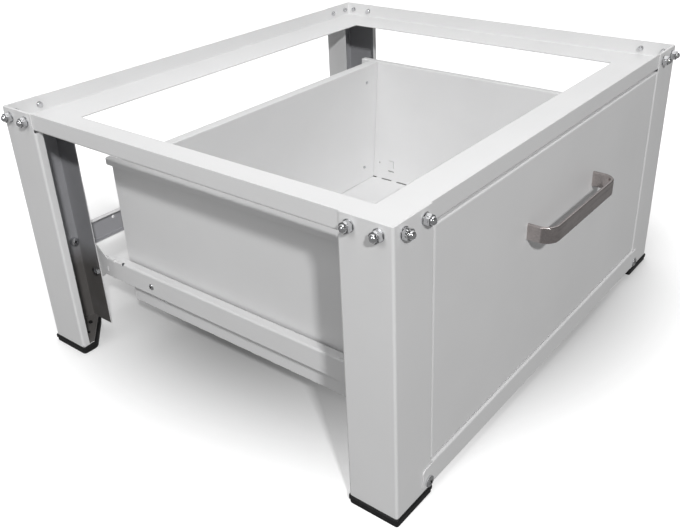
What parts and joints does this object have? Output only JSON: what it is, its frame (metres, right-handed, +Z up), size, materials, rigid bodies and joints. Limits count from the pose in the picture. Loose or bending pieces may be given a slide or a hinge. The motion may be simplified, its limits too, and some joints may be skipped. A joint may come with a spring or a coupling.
{
  "type": "washing machine pedestal drawer",
  "caption": "White steel pedestal for a front-loading washing machine or dryer, with four corner legs, a bolted ring frame and a drawer with a bow handle on ball-bearing slides.",
  "frame": {"origin": "on the floor, under the middle of the whole object's box", "axes": "+Z up, +Y towards the back, +X to the right seen from the drawer front; the drawer opens along -Y"},
  "size_m": [0.652, 0.5796, 0.317],
  "materials": {
    "powder_white": "fine-grained semi-gloss powder coat",
    "foot_plastic": "moulded, matt",
    "zinc_fasteners": "bright plated",
    "handle_nickel": "satin nickel",
    "slide_steel": "zinc plated, cold rolled",
    "cage_steel": "zinc plated strip",
    "ball_steel": "polished"
  },
  "bodies": {
    "stand": {"top_frame": "powder_white", "leg_front_left": "powder_white", "leg_front_right": "powder_white", "leg_rear_left": "powder_white", "leg_rear_right": "powder_white", "foot_front_left": "foot_plastic", "foot_front_right": "foot_plastic", "foot_rear_left": "foot_plastic", "foot_rear_right": "foot_plastic", "front_lower_rail": "powder_white", "rear_cross_rail": "powder_white", "slide_support_left": "powder_white", "slide_support_right": "powder_white", "slide_outer_left": "slide_steel", "slide_outer_right": "slide_steel", "frame_bolts": "zinc_fasteners", "frame_washers": "zinc_fasteners", "frame_cap_nuts": "zinc_fasteners", "support_bolts": "zinc_fasteners", "support_nuts": "zinc_fasteners", "cross_rail_bolts": "zinc_fasteners", "cross_rail_nuts": "zinc_fasteners", "lower_rail_screws": "zinc_fasteners", "lower_rail_nuts": "zinc_fasteners", "slide_rivets": "zinc_fasteners"},
    "drawer": {"slide_inner_left": "slide_steel", "slide_inner_right": "slide_steel", "slide_inner_screws": "zinc_fasteners", "drawer_tray": "powder_white", "drawer_back": "powder_white", "drawer_corner_angles": "powder_white", "drawer_front": "powder_white", "drawer_handle": "handle_nickel", "handle_screws": "zinc_fasteners", "drawer_back_screws": "zinc_fasteners", "drawer_front_screws": "zinc_fasteners"},
    "ball_cage_left": {"ball_retainer_left": "cage_steel", "slide_balls_left": "ball_steel"},
    "ball_cage_right": {"ball_retainer_right": "cage_steel", "slide_balls_right": "ball_steel"}
  },
  "joints": [
    {"name": "drawer_slide", "type": "slide", "parent": "stand", "child": "drawer", "axis": [0, -1, 0], "range_m": [0, 0.3]},
    {"name": "ball_cage_left_slide", "type": "slide", "parent": "stand", "child": "ball_cage_left", "axis": [0, -1, 0], "range_m": [0, 0.15]},
    {"name": "ball_cage_right_slide", "type": "slide", "parent": "stand", "child": "ball_cage_right", "axis": [0, -1, 0], "range_m": [0, 0.15]}
  ],
  "couplings": [
    {"joint": "ball_cage_left_slide", "follows": "drawer_slide", "ratio": 0.5},
    {"joint": "ball_cage_right_slide", "follows": "drawer_slide", "ratio": 0.5}
  ]
}
